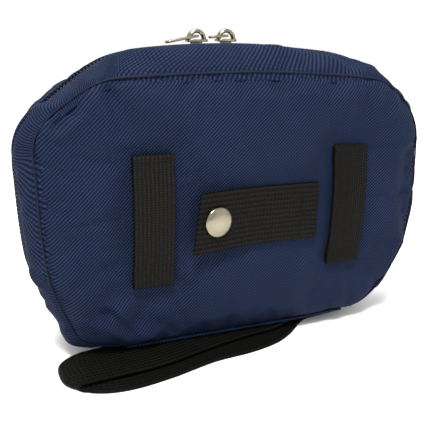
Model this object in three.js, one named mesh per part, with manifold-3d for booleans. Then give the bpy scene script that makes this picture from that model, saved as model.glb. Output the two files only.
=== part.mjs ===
// Padded cash deposit bag with a two-slider zip, two belt loops, a press-stud tab and a wrist strap.
// Millimetres, +Z up. The belt side faces -Y. The origin is at the middle of the flat that it stands on.

import * as THREE from "three";
import { mergeVertices } from "three/addons/utils/BufferGeometryUtils.js";
import Module from "manifold-3d";

const wasm = await Module();
wasm.setup();

// Bag: the zip line is the widest outline, and each panel seam lies inside it
const bagWidth = 221.1;
const bagHeight = 152.1;
const halfDepth = 22.8; // zip plane to a panel seam
const seamInset = 7.2; // at the sides
const seamRise = 4.9; // at the bottom
const seamDrop = 13.3; // at the top
const sideBulge = 4.3;
const crownHeight = 2.8; // how far a panel swells past its seam
const zipCorner = { bottom: 51.8, top: 59.2, arch: 11.1 };
const seamCorner = { bottom: 40.1, top: 29.4, arch: 6.3 };

// Fabric layers
const clearance = 0.3; // between pieces that touch on the real bag
const shellThickness = 1;
const foamThickness = 3.5;
const liningThickness = 0.8;
const gussetThickness = 1.4;
const foamMargin = 0.93; // share of the panel that the foam and lining fill
const bindingWidth = 6;
const bindingThickness = 1;

// Zip
const coilGap = 1.2; // between the two coils, where a slider's post runs
const coilWidth = 2.5;
const coilHeight = 2;
const coilDepth = 0.4; // top of the coil under the gusset's outer face
const tapeWidth = 8.6;
const tapeThickness = 0.8;
const gussetToZip = 5; // zip plane to the turned edge of a gusset
const gussetEnd = 1.135; // where the zip gussets meet the bottom gusset, as a place along the outline
const coilEnd = 1.17;
const ringColumns = 42; // facets along the gusset ring
const ringRow = 3; // facets across it

// Sliders and pulls
const sliderLength = 10.5;
const sliderNose = 8.4;
const sliderTail = 6.4;
const sliderPlate = 1.2;
const sliderPost = 0.6;
const sliderLift = 0.6; // underside of the top plate over the gusset's outer face
const sliderReach = 5.1; // bottom of the slider under the gusset's outer face
const bailRadius = 4.6;
const bailBar = 1.3;
const bailWidth = 2.2;
const pullLengths = { left: 16.3, right: 9.2 };
const pullWidth = 4.8;
const pullThickness = 1.1;
const pullArm = 0.8;
const pullDroops = { left: 9, right: 5 }; // degrees
const sliderPlaces = { left: -22.85, right: -7.15 };

// Webbing
const webbingThickness = 1.6;
const beltWebbing = 20;
const beltLoopHeight = 64.6;
const beltLoopBottom = 38.3;
const beltLoopPlaces = { left: -53.55, right: 53.55 }; // middle of each loop
const beltSlot = 4.3; // room for a belt
const beltFold = 9; // turned-under end
const beltRise = 4; // length over which a loop leaves the panel

// Press-stud tab
const tabWidth = 30;
const tabThickness = 1.8;
const tabBottom = 54.3;
const tabRight = 35.95;
const tabStitch = 24.55; // the tab swings about this line
const tabLeft = -33.65;
const tabSlant = 3.9; // the cut end leans by this much
const tabBend = -0.15; // left of here the tab stands off the panel
const tabTilt = 10; // degrees
const snapPlace = { x: -22.65, z: 69.3 };
const capRadius = 7.5;
const capDome = 2.2;
const rivetRadius = 1.6;
const socketRadius = 5.8;
const socketBore = 3.2;
const socketHeight = 1.9;
const studBase = 4.2;
const studHead = 2.2;
const studHeight = 3;

// Wrist strap, doubled, lying under the bag
const strapWidth = 30;
const strapThickness = 1.6;
const strapGap = 0.8;
const strapStack = 2 * strapThickness + strapGap;
const strapRoom = strapStack + 0.6; // underside of the bag over the strap
const anchorHeight = 7;
// the strap's middle, from its seam in X and from the zip plane in Y: the lower layer, then the upper one
const lowerRun = [
  [-27.3, -6], [-47.3, -17], [-67.3, -24], [-92.3, -27], [-117.3, -34], [-137.3, -37], [-151.3, -33], [-159.3, -29.5],
];
const upperRun = [
  [-27.3, -3], [-47.3, -9], [-67.3, -12], [-92.3, -18], [-117.3, -25.5], [-137.3, -28], [-151.3, -29], [-159.3, -29.5],
];

// The flat that the bag stands on: in front of the strap
const standFront = 16;
const standRamp = 3;
const standEdge = { left: -5, right: 19.5 }; // rear edge of the flat, at the strap's seam and far from it
const standSlant = 136; // length over which that edge runs from one to the other
const zipPlane = -(standFront + (standEdge.left + standEdge.right) / 2) / 2;

const navy = new THREE.MeshStandardMaterial({ color: 0x232c50, roughness: 0.85 });
const black = new THREE.MeshStandardMaterial({ color: 0x1f201d, roughness: 0.9 });
const coilBlack = new THREE.MeshStandardMaterial({ color: 0x121212, roughness: 0.45 });
const grey = new THREE.MeshStandardMaterial({ color: 0x3c3d42, roughness: 0.9 });
const foamWhite = new THREE.MeshStandardMaterial({ color: 0xd8d6cc, roughness: 1 });
const nickel = new THREE.MeshStandardMaterial({ color: 0xcfcabd, roughness: 0.25, metalness: 1 });

const lerp = THREE.MathUtils.lerp;
const radians = THREE.MathUtils.degToRad;

// The outline of the bag in XZ. s runs 0 to 10: bottom middle, right corner 1 to 2, right side 2 to 3,
// top corner 3 to 4, top middle 5, and back down the left. level is 0 at the zip and 1 at a panel seam.
function edgePoint(s, level) {
  const share = level ** 1.5;
  const half = bagWidth / 2 - seamInset * share;
  const bottom = seamRise * share;
  const top = bagHeight - seamDrop * share;
  const bottomRadius = lerp(zipCorner.bottom, seamCorner.bottom, share);
  const topRadius = lerp(zipCorner.top, seamCorner.top, share);
  const arch = lerp(zipCorner.arch, seamCorner.arch, share);
  const k = s <= 5 ? s : 10 - s;
  let x = half;
  let z = lerp(bottom + bottomRadius, top - topRadius, k - 2);
  if (k < 1) {
    x = k * (half - bottomRadius);
    z = bottom;
  } else if (k < 2) {
    const turn = ((k - 1) * Math.PI) / 2;
    x = half - bottomRadius * (1 - Math.sin(turn));
    z = bottom + bottomRadius * (1 - Math.cos(turn));
  } else if (k >= 3 && k < 4) {
    const turn = ((k - 3) * Math.PI) / 2;
    x = half - topRadius * (1 - Math.cos(turn));
    z = top - topRadius * (1 - Math.sin(turn));
  } else if (k >= 4) {
    x = (5 - k) * (half - topRadius);
    z = top;
  }
  const across = x / half;
  const up = (z - (bottom + top) / 2) / ((top - bottom) / 2);
  x -= sideBulge * up ** 2 * across;
  z -= up > 0 ? arch * across ** 2 * up : 0;
  return new THREE.Vector2(s <= 5 ? x : -x, z);
}

// A point on the gusset ring, y from the zip plane, inset under the outer face. The ring clears the strap.
function ringPoint(s, y, inset) {
  const level = Math.abs(y) / halfDepth;
  const step = 0.01;
  const point = edgePoint(s, level);
  const along = edgePoint(Math.min(10, s + step), level).sub(edgePoint(Math.max(0, s - step), level));
  const inward = new THREE.Vector2(-along.y, along.x).normalize();
  const lift = Math.max(0, strapRoom - point.y);
  return new THREE.Vector3(point.x + inward.x * inset, y, point.y + lift + inward.y * inset);
}

// How far a panel's outer face stands from the zip plane at x, z
function panelFace(x, z) {
  const half = bagWidth / 2 - seamInset;
  const middle = (seamRise + bagHeight - seamDrop) / 2;
  const across = Math.min(1, Math.abs(x) / half) ** 2.5;
  const up = Math.min(1, Math.abs(z - middle) / (middle - seamRise)) ** 2.5;
  return halfDepth + crownHeight * (1 - across) * (1 - up);
}

// Moves every vertex of a closed geometry to place(x, y, z) and turns its faces outwards
function shaped(geometry, place) {
  geometry.deleteAttribute("normal");
  geometry.deleteAttribute("uv");
  const merged = mergeVertices(geometry, 1e-4);
  const position = merged.getAttribute("position");
  const point = new THREE.Vector3();
  for (let i = 0; i < position.count; i++) {
    point.fromBufferAttribute(position, i);
    position.setXYZ(i, ...place(point.x, point.y, point.z));
  }
  const [a, b, c] = [new THREE.Vector3(), new THREE.Vector3(), new THREE.Vector3()];
  const faces = [];
  let volume = 0;
  for (let i = 0; i < merged.index.count; i += 3) {
    const corners = [0, 1, 2].map((k) => merged.index.getX(i + k));
    if (new Set(corners).size < 3) continue;
    [a, b, c].forEach((v, k) => v.fromBufferAttribute(position, corners[k]));
    volume += a.dot(b.cross(c));
    faces.push(corners);
  }
  merged.setIndex(faces.flatMap(([p, q, r]) => (volume < 0 ? [p, r, q] : [p, q, r])));
  merged.computeVertexNormals();
  return merged;
}

// A sheet: u and v run 0 to 1 along and across it, and w is 0 on its outer face and 1 on its inner face
function sheet(columns, rows, place) {
  const box = new THREE.BoxGeometry(1, 1, 1, columns, rows, 1);
  return shaped(box, (x, y, z) => place(x + 0.5, y + 0.5, z + 0.5));
}

function toSolid(geometry) {
  const plain = mergeVertices(shaped(geometry, (x, y, z) => [x, y, z]), 1e-4);
  const vertProperties = plain.getAttribute("position").array;
  const triVerts = new Uint32Array(plain.index.array);
  return new wasm.Manifold(new wasm.Mesh({ numProp: 3, vertProperties, triVerts }));
}

function fromSolid(solid) {
  const mesh = solid.getMesh();
  const geometry = new THREE.BufferGeometry();
  geometry.setAttribute("position", new THREE.BufferAttribute(new Float32Array(mesh.vertProperties), 3));
  geometry.setIndex(new THREE.BufferAttribute(new Uint32Array(mesh.triVerts), 1));
  geometry.computeVertexNormals();
  return geometry;
}

const join = (...pieces) => fromSolid(pieces.map(toSolid).reduce((whole, piece) => whole.add(piece)));
const cut = (piece, hole) => fromSolid(toSolid(piece).subtract(toSolid(hole)));

const bag = new THREE.Group();
bag.position.y = zipPlane;

function add(name, geometry, material, parent = bag) {
  const mesh = new THREE.Mesh(geometry, material);
  mesh.name = name;
  parent.add(mesh);
  return mesh;
}

// One crowned layer of a panel, from depth to depth + thickness behind its outer face
function panelLayer(side, reach, depth, thickness) {
  const rings = [0, 0.35, 0.65, 0.85, 1];
  const profile = rings.map((r) => new THREE.Vector2(r, 0));
  profile.push(...rings.toReversed().map((r) => new THREE.Vector2(r, 1)));
  const middle = (seamRise + bagHeight - seamDrop) / 2;
  return shaped(new THREE.LatheGeometry(profile, 40), (x, y, z) => {
    const radius = Math.hypot(x, z) * reach;
    const s = (10 * (Math.atan2(x, z) + 2 * Math.PI)) / (2 * Math.PI);
    const edge = edgePoint(s % 10, 1);
    const px = edge.x * radius;
    const pz = middle + (edge.y - middle) * radius;
    return [px, side * (panelFace(px, pz) - depth - y * thickness), pz];
  });
}

// A strip of the gusset ring between two distances from the zip plane, from inset to inset + thickness.
// All strips share their stations along the outline and across it, so their facets lie parallel.
function ringStrip(side, near, far, inset, thickness, ends = []) {
  const run = Array.from({ length: ringColumns + 1 }, (_, i) => lerp(coilEnd, 10 - coilEnd, i / ringColumns));
  const stations = [...ends, ...run, ...ends.map((s) => 10 - s)];
  const rows = [near];
  for (let y = Math.ceil((near + 0.5) / ringRow) * ringRow; y < far - 0.5; y += ringRow) rows.push(y);
  rows.push(far);
  return sheet(stations.length - 1, rows.length - 1, (u, v, w) => {
    const s = stations[Math.round(u * (stations.length - 1))];
    return ringPoint(s, side * rows[Math.round(v * (rows.length - 1))], inset + w * thickness);
  });
}

function rivetBore(radius, place, outward, tilt) {
  const hole = new THREE.CylinderGeometry(radius, radius, 12, 20);
  hole.rotateZ(radians(tilt));
  hole.translate(place.x, outward, place.z);
  return hole;
}

// The same layers on both halves: shell, foam, lining, gusset, tape, coil and seam binding
function addHalf(half, side, holes) {
  const foamDepth = shellThickness + clearance;
  const liningDepth = foamDepth + foamThickness + clearance;
  const panelName = side < 0 ? "back" : "front";
  const shell = panelLayer(side, 1, 0, shellThickness);
  const foam = panelLayer(side, foamMargin, foamDepth, foamThickness);
  add(panelName + "_panel", holes.shell ? cut(shell, holes.shell) : shell, navy);
  add(panelName + "_foam", holes.foam ? cut(foam, holes.foam) : foam, foamWhite);
  add(panelName + "_lining", panelLayer(side, foamMargin, liningDepth, liningThickness), grey);

  const gussetFar = halfDepth - shellThickness - clearance;
  const tapeNear = coilGap / 2 + coilWidth + clearance;
  const underGusset = gussetThickness + clearance;
  add(half + "_zip_gusset",
    ringStrip(side, gussetToZip, gussetFar, 0, gussetThickness, [gussetEnd]), navy);
  add("zip_tape_" + half,
    ringStrip(side, tapeNear, tapeNear + tapeWidth, underGusset, tapeThickness), black);
  add("zip_coil_" + half,
    ringStrip(side, coilGap / 2, coilGap / 2 + coilWidth, coilDepth, coilHeight), coilBlack);
  add("seam_binding_" + half,
    ringStrip(side, gussetFar - bindingWidth, gussetFar, underGusset, bindingThickness), black);
}

// The bottom gusset: flat on the standing surface in front of the strap, raised over it behind
function addBottomGusset(anchorLeft, zipLeft) {
  const edge = halfDepth - shellThickness - clearance;
  add("bottom_gusset", sheet(12, 5, (u, v, w) => {
    const x = lerp(-zipLeft, anchorLeft, u);
    const slant = Math.min(1, (anchorLeft - x) / standSlant);
    const flatEdge = lerp(standEdge.right, standEdge.left, slant);
    const flatFront = Math.max(standFront, flatEdge + 0.5);
    const rows = [-edge, (flatEdge - standRamp - edge) / 2, flatEdge - standRamp, flatEdge, flatFront, edge];
    const heights = [strapRoom, strapRoom, strapRoom, 0, 0, strapRoom];
    const row = Math.round(v * 5);
    return [x, rows[row], heights[row] + w * gussetThickness];
  }), navy);
}

// A stop closes each end of the zip
function addZipStop(name, start, end) {
  add(name, sheet(1, 1, (u, v, w) =>
    ringPoint(lerp(start, end, u), lerp(-1, 1, v) * (coilGap / 2 + coilWidth), coilDepth + w * coilHeight)), nickel);
}

// Webbing with both ends turned under and sewn down, bowed out to take a belt
function addBeltLoop(name, middle) {
  const inner = Math.sign(middle) * (Math.abs(middle) - beltWebbing / 2);
  const foot = (z) => panelFace(inner, z) + clearance;
  const top = beltLoopBottom + beltLoopHeight;
  const bow = panelFace(inner, (beltLoopBottom + top) / 2) + beltSlot;
  const places = [0, beltFold, beltFold + 0.6, beltFold + beltRise];
  const rows = [...places.map((p) => beltLoopBottom + p), ...places.toReversed().map((p) => top - p)];
  add(name, sheet(1, rows.length - 1, (u, v, w) => {
    const row = Math.round(v * (rows.length - 1));
    const fromEnd = Math.min(row, rows.length - 1 - row);
    const z = rows[row];
    const thickness = fromEnd < 2 ? 2 * webbingThickness : webbingThickness;
    const outer = fromEnd < 3 ? foot(z) + 2 * webbingThickness : bow + webbingThickness;
    return [middle + (u - 0.5) * beltWebbing, -(outer - w * thickness), z];
  }), black);
}

// The tab: a sewn end, and a flap that stands off the panel towards its press stud
const tabFoot = panelFace(0, tabBottom + tabWidth / 2) + clearance;
const flapInner = (x) => tabFoot + Math.max(0, tabBend - x) * Math.tan(radians(tabTilt));

function addTab() {
  const sewnLeft = tabStitch + clearance;
  const flapRight = tabStitch - clearance;
  const sewn = new THREE.BoxGeometry(tabRight - sewnLeft, tabThickness, tabWidth);
  sewn.translate((tabRight + sewnLeft) / 2, -(tabFoot + tabThickness / 2), tabBottom + tabWidth / 2);
  add("snap_tab_sewn_end", sewn, black);

  const flap = sheet(2, 1, (u, v, w) => {
    const left = tabLeft + tabSlant * (v - 0.5);
    const x = [left, tabBend, flapRight][Math.round(u * 2)];
    return [x, -(flapInner(x) + (1 - w) * tabThickness), tabBottom + v * tabWidth];
  });
  const rivetHole = rivetBore(rivetRadius + clearance, snapPlace, -flapInner(snapPlace.x), tabTilt);
  add("snap_tab_flap", cut(flap, rivetHole), black);
}

// Turns a profile of [radius, height] pairs; heights run outwards from the bag
function turned(pairs) {
  return new THREE.LatheGeometry(pairs.map(([r, h]) => new THREE.Vector2(r, h)), 28);
}

function addSnap() {
  const seat = new THREE.Group();
  seat.position.set(snapPlace.x, -flapInner(snapPlace.x), snapPlace.z);
  seat.rotation.set(0, 0, radians(tabTilt));
  bag.add(seat);
  const outFace = tabThickness * Math.cos(radians(tabTilt)) + clearance;
  const cap = turned([
    [0, -clearance / 2], [rivetRadius, -clearance / 2], [rivetRadius, outFace], [capRadius - 0.3, outFace],
    [capRadius, outFace + 0.4], [capRadius - 0.5, outFace + 1.2], [capRadius * 0.7, outFace + capDome * 0.85],
    [capRadius * 0.35, outFace + capDome * 0.97], [0, outFace + capDome]]);
  add("snap_cap", cap, nickel, seat).rotation.x = Math.PI;
  const socketTop = -clearance - 0.1;
  const socket = turned([
    [socketBore, socketTop - socketHeight], [socketRadius, socketTop - socketHeight],
    [socketRadius, socketTop], [socketBore, socketTop], [socketBore, socketTop - socketHeight]]);
  add("snap_socket", socket, nickel, seat).rotation.x = Math.PI;

  const face = panelFace(snapPlace.x, snapPlace.z);
  const studFoot = clearance;
  const backFace = -shellThickness - clearance;
  const stud = turned([
    [0, studFoot], [studBase, studFoot], [studBase, studFoot + 0.4], [studHead * 0.8, studFoot + 0.6],
    [studHead * 0.8, studHeight - 1], [studHead, studHeight - 0.6], [studHead * 0.8, studHeight - 0.1],
    [0, studHeight]]);
  const onPanel = new THREE.Group();
  onPanel.position.set(snapPlace.x, -face, snapPlace.z);
  bag.add(onPanel);
  add("snap_stud", stud, nickel, onPanel).rotation.x = Math.PI;
  const rivet = turned([
    [0, backFace - 0.6], [studBase, backFace - 0.6], [studBase, backFace], [rivetRadius, backFace],
    [rivetRadius, 0], [0, 0]]);
  add("snap_stud_rivet", rivet, nickel, onPanel).rotation.x = Math.PI;
}

// Holes in the back panel and a pocket in its foam for the stud's rivet
function rivetCuts() {
  const face = panelFace(snapPlace.x, snapPlace.z);
  const shell = rivetBore(rivetRadius + clearance, snapPlace, -face, 0);
  const foam = new THREE.CylinderGeometry(studBase + clearance, studBase + clearance, 3, 24);
  foam.translate(snapPlace.x, -(face - shellThickness - 1), snapPlace.z);
  return { shell, foam };
}

// A zip slider: two plates on a post that runs between the coils, and a bail over the top.
// Its nose points along local +X, and local Z = 0 is the gusset's outer face.
function sliderGeometry() {
  const plan = new THREE.Shape();
  const [nose, tail, end] = [sliderNose / 2, sliderTail / 2, sliderLength / 2];
  plan.moveTo(-end + 1, -tail);
  plan.lineTo(end - 2.5, -nose);
  plan.quadraticCurveTo(end, -nose, end, 0);
  plan.quadraticCurveTo(end, nose, end - 2.5, nose);
  plan.lineTo(-end + 1, tail);
  plan.quadraticCurveTo(-end, tail, -end, tail - 1);
  plan.lineTo(-end, -tail + 1);
  plan.quadraticCurveTo(-end, -tail, -end + 1, -tail);
  const plate = (z) => {
    const geometry = new THREE.ExtrudeGeometry(plan, { depth: sliderPlate, bevelEnabled: false, curveSegments: 6 });
    return geometry.translate(0, 0, z);
  };
  const postHeight = sliderLift + sliderReach - sliderPlate + 0.4;
  const post = new THREE.BoxGeometry(sliderLength * 0.6, sliderPost, postHeight);
  post.translate(0, 0, sliderLift + 0.2 - postHeight / 2);
  const bail = new THREE.Shape();
  bail.absarc(0, 0, bailRadius, 0, Math.PI, false);
  bail.absarc(0, 0, bailRadius - bailBar, Math.PI, 0, true);
  const arch = new THREE.ExtrudeGeometry(bail, { depth: bailWidth, bevelEnabled: false, curveSegments: 14 });
  arch.rotateX(Math.PI / 2);
  arch.translate(0, bailWidth / 2, sliderLift + sliderPlate - 0.2);
  return join(plate(sliderLift), plate(-sliderReach), post, arch);
}

// A pull: a flat tag whose eye goes round the bail. Its eye's bar is at the local origin.
function pullGeometry(length) {
  const tag = new THREE.Shape();
  const half = pullWidth / 2;
  const bar = 0.5;
  tag.moveTo(-bar, -half);
  tag.lineTo(length - half, -half);
  tag.absarc(length - half, 0, half, -Math.PI / 2, Math.PI / 2, false);
  tag.lineTo(-bar, half);
  const eye = new THREE.Path();
  const eyeHalf = half - pullArm;
  const eyeEnd = bailRadius + 0.4;
  eye.moveTo(bar, -eyeHalf);
  eye.lineTo(bar, eyeHalf);
  eye.lineTo(eyeEnd, eyeHalf);
  eye.lineTo(eyeEnd, -eyeHalf);
  tag.holes.push(eye);
  const geometry = new THREE.ExtrudeGeometry(tag, { depth: pullThickness, bevelEnabled: false, curveSegments: 8 });
  return shaped(geometry.translate(0, 0, -pullThickness / 2), (x, y, z) => [x, y, z]);
}

// The top of the zip is an arc: a slider rides at its radius, and turns about its centre
const topArc = (bagWidth / 2) ** 2 / (2 * zipCorner.arch);

function addSlider(hand, turn) {
  const x = sliderPlaces[hand];
  const carriage = new THREE.Group();
  carriage.position.set(0, 0, bagHeight - topArc);
  carriage.rotation.y = Math.asin(x / topArc);
  bag.add(carriage);
  const seat = new THREE.Group();
  seat.position.z = topArc;
  seat.rotation.z = turn;
  carriage.add(seat);
  add("slider_" + hand, sliderGeometry(), nickel, seat);
  const pull = add("pull_" + hand, pullGeometry(pullLengths[hand]), nickel, seat);
  pull.position.z = sliderLift + sliderPlate + bailRadius - bailBar - pullThickness * 1.6;
  pull.rotation.z = Math.PI - turn; // both pulls lie towards -X
  pull.rotation.y = radians(pullDroops[hand]) * (turn === 0 ? -1 : 1);
}

// One band of webbing: out along the lower run, over a fold, and back along the upper run
function addWristStrap(root) {
  const mid = strapThickness / 2;
  const foldRadius = (strapThickness + strapGap) / 2;
  const run = (points) => new THREE.SplineCurve([[0, 0], ...points].map(([x, y]) => new THREE.Vector2(root + x, y)));
  const steps = 16;
  const stations = [];
  const walk = (curve, z, up, order) => {
    for (const i of order) {
      const point = curve.getPoint(i / steps);
      const square = i === 0 || i === steps; // the webbing leaves its seam and meets its fold square on
      const along = square ? new THREE.Vector2(-1, 0) : curve.getTangent(i / steps);
      const across = new THREE.Vector3(along.y, -along.x, 0);
      stations.push({ middle: new THREE.Vector3(point.x, point.y, z), across, out: new THREE.Vector3(0, 0, up) });
    }
  };
  const count = [...Array(steps + 1).keys()];
  walk(run(lowerRun), mid, -1, count);
  const [foldRun, foldY] = lowerRun.at(-1);
  for (const angle of [45, 90, 135]) {
    const out = new THREE.Vector3(-Math.sin(radians(angle)), 0, -Math.cos(radians(angle)));
    const middle = new THREE.Vector3(root + foldRun, foldY, mid + foldRadius).addScaledVector(out, foldRadius);
    stations.push({ middle, across: new THREE.Vector3(0, 1, 0), out });
  }
  walk(run(upperRun), mid + 2 * foldRadius, 1, count.toReversed());
  add("wrist_strap", sheet(stations.length - 1, 1, (u, v, w) => {
    const station = stations[Math.round(u * (stations.length - 1))];
    return station.middle.clone()
      .addScaledVector(station.across, (v - 0.5) * strapWidth)
      .addScaledVector(station.out, (0.5 - w) * strapThickness);
  }), black);
}

// The strap's tail, caught in the seam at the right-hand end of the bottom gusset
function addStrapAnchor(left) {
  const tail = new THREE.BoxGeometry(strapStack, strapWidth, anchorHeight);
  tail.translate(left + strapStack / 2, 0, strapStack + 0.4 + anchorHeight / 2);
  add("wrist_strap_anchor", tail, black);
}

addHalf("rear", -1, rivetCuts());
addHalf("front", 1, {});
const zipEnd = edgePoint(gussetEnd, 0).x;
const anchorLeft = zipEnd - 1 - strapStack;
addBottomGusset(anchorLeft - clearance, zipEnd - 1);
addZipStop("zip_stop_right", gussetEnd + 0.005, coilEnd - 0.008);
addZipStop("zip_stop_left", 10 - gussetEnd - 0.005, 10 - coilEnd + 0.008);
addBeltLoop("belt_loop_left", beltLoopPlaces.left);
addBeltLoop("belt_loop_right", beltLoopPlaces.right);
addTab();
addSnap();
addSlider("left", 0);
addSlider("right", Math.PI);
addStrapAnchor(anchorLeft);
addWristStrap(anchorLeft + strapStack / 2 - 0.7);

export default bag;
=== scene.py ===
import math
import bmesh
import bpy
from mathutils import Matrix, Vector, noise


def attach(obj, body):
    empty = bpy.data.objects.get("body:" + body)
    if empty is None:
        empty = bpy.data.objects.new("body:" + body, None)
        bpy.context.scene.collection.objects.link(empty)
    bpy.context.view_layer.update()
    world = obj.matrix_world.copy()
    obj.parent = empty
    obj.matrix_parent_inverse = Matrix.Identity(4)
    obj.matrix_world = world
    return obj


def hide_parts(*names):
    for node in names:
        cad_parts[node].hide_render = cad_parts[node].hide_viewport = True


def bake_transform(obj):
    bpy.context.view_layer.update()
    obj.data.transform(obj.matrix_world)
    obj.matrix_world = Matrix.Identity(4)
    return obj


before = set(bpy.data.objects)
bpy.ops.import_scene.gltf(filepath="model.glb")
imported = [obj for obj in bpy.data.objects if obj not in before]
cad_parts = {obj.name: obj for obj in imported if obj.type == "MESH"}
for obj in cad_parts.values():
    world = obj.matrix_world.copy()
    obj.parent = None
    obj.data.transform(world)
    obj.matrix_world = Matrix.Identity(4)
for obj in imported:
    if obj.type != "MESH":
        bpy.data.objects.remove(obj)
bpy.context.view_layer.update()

mm = 0.001
scene = bpy.context.scene
scene.view_settings.view_transform = "Standard"

# Camera and light

camera = {"target": (-10.45, -11.6, 63.1), "place": (-140.55, -310.3, 156.9), "lens": 53.1, "roll": 1.5}
lights = [
    {"name": "keySoftbox", "place": (-0.3, -0.5, 1.1), "size": 0.3, "watts": 19, "colour": "#fffaf2"},
    {"name": "fillSoftbox", "place": (0.8, -0.8, 0.35), "size": 0.8, "watts": 1.2, "colour": "#f4f8ff"},
    {"name": "topSoftbox", "place": (-0.1, 0.25, 0.9), "size": 0.6, "watts": 5, "colour": "#ffffff"},
]
backdrop = {"floor": "#ffffff", "world": "#ffffff", "strength": 1.0, "size": 12}


def toLinear(text):
    values = [int(text[i:i + 2], 16) / 255 for i in (1, 3, 5)]
    return [v / 12.92 if v <= 0.04045 else ((v + 0.055) / 1.055) ** 2.4 for v in values] + [1.0]


# Adds a node, with its properties and with its inputs as values or as sockets to link from
def addNode(tree, kind, inputs=None, **settings):
    new = tree.nodes.new(kind)
    for key, value in settings.items():
        setattr(new, key, value)
    for key, value in (inputs or {}).items():
        if isinstance(value, bpy.types.NodeSocket):
            tree.links.new(value, new.inputs[key])
        else:
            new.inputs[key].default_value = value
    return new


def addCamera():
    data = bpy.data.cameras.new("camera")
    data.lens = camera["lens"]
    data.sensor_width = 36
    data.clip_start = 0.01
    eye = bpy.data.objects.new("camera", data)
    eye.location = Vector(camera["place"]) * mm
    facing = (Vector(camera["target"]) * mm - eye.location).to_track_quat("-Z", "Y").to_matrix()
    eye.rotation_euler = (facing @ Matrix.Rotation(math.radians(camera["roll"]), 3, "Z")).to_euler()
    scene.collection.objects.link(eye)
    scene.camera = eye


def addLights():
    middle = Vector((0, -0.012, 0.06))
    for light in lights:
        data = bpy.data.lights.new(light["name"], "AREA")
        data.size = light["size"]
        data.energy = light["watts"]
        data.color = toLinear(light["colour"])[:3]
        lamp = bpy.data.objects.new(light["name"], data)
        lamp.location = light["place"]
        lamp.rotation_euler = (middle - lamp.location).to_track_quat("-Z", "Y").to_euler()
        scene.collection.objects.link(lamp)
    world = bpy.data.worlds.new("studio")
    world.use_nodes = True
    glow = world.node_tree.nodes["Background"]
    glow.inputs["Color"].default_value = toLinear(backdrop["world"])
    glow.inputs["Strength"].default_value = backdrop["strength"]
    scene.world = world


def addFloor():
    mesh = bmesh.new()
    bmesh.ops.create_grid(mesh, x_segments=1, y_segments=1, size=backdrop["size"])
    data = bpy.data.meshes.new("floor")
    mesh.to_mesh(data)
    mesh.free()
    paper = bpy.data.materials.new("matt white paper")
    paper.use_nodes = True
    shader = paper.node_tree.nodes["Principled BSDF"]
    shader.inputs["Base Color"].default_value = toLinear(backdrop["floor"])
    shader.inputs["Roughness"].default_value = 0.9
    data.materials.append(paper)
    floor = bpy.data.objects.new("floor", data)
    scene.collection.objects.link(floor)


print("camera, lights and floor")
addCamera()
addLights()
addFloor()

# Materials. A cloth piece carries a UV map, threads, in millimetres along and across the cloth.

bandScale = math.pi / 10  # a wave texture's scale for bands 1 unit apart


def newMaterial(name, roughness=0.5):
    material = bpy.data.materials.new(name)
    material.use_nodes = True
    shader = material.node_tree.nodes["Principled BSDF"]
    shader.inputs["Roughness"].default_value = roughness
    return material, material.node_tree, shader


# Coated 600-denier oxford: matt, with rows of small raised thread crossings. The crossings are about 0.9 mm apart
# on the real cloth and are drawn a little coarser so that they show.
oxford = {"crown": "#263555", "gapShade": "#070c1d", "fade": "#1b2742", "ribPitch": 1.3, "dotPitch": 1.1,
          "turn": 45, "ribbiness": 0.4, "relief": 0.00025, "roughness": (0.66, 0.88), "sheen": 0.0, "patch": 0.035}


def oxfordCloth(name, look):
    material, tree, shader = newMaterial(name)
    uv = addNode(tree, "ShaderNodeUVMap", uv_map="threads").outputs["UV"]
    turn = addNode(tree, "ShaderNodeMapping", {"Vector": uv, "Rotation": (0, 0, math.radians(look["turn"]))})
    ribs = addNode(tree, "ShaderNodeTexWave", {"Vector": turn.outputs[0], "Scale": bandScale / look["ribPitch"],
                   "Distortion": 0.5, "Detail": 0, "Detail Scale": 0.3}, bands_direction="X")
    dots = addNode(tree, "ShaderNodeTexWave", {"Vector": turn.outputs[0], "Scale": bandScale / look["dotPitch"],
                   "Distortion": 0.5, "Detail": 0, "Detail Scale": 0.3}, bands_direction="Y")
    beads = addNode(tree, "ShaderNodeMapRange", {"Value": dots.outputs["Fac"], "To Min": look["ribbiness"]})
    knots = addNode(tree, "ShaderNodeMath", {0: ribs.outputs["Fac"], 1: beads.outputs[0]}, operation="MULTIPLY")
    patch = addNode(tree, "ShaderNodeTexNoise", {"Vector": uv, "Scale": look["patch"], "Detail": 3})
    crown = addNode(tree, "ShaderNodeMix", {0: patch.outputs["Fac"], 6: toLinear(look["fade"]),
                    7: toLinear(look["crown"])}, data_type="RGBA")
    # Painted shade: the gaps between thread crossings take the much darker gap colour, and the crossings' tops take
    # the cloth's own navy
    colour = addNode(tree, "ShaderNodeMix", {0: knots.outputs[0], 6: toLinear(look["gapShade"]),
                     7: crown.outputs[2]}, data_type="RGBA")
    rough = addNode(tree, "ShaderNodeMapRange", {"Value": knots.outputs[0], "To Min": look["roughness"][1],
                    "To Max": look["roughness"][0]})
    bump = addNode(tree, "ShaderNodeBump", {"Height": knots.outputs[0], "Distance": look["relief"], "Strength": 1.0})
    tree.links.new(colour.outputs[2], shader.inputs["Base Color"])
    tree.links.new(rough.outputs[0], shader.inputs["Roughness"])
    tree.links.new(bump.outputs[0], shader.inputs["Normal"])
    shader.inputs["Sheen Weight"].default_value = look["sheen"]
    shader.inputs["Sheen Roughness"].default_value = 0.5
    shader.inputs["Specular IOR Level"].default_value = 0.08
    return material


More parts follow.
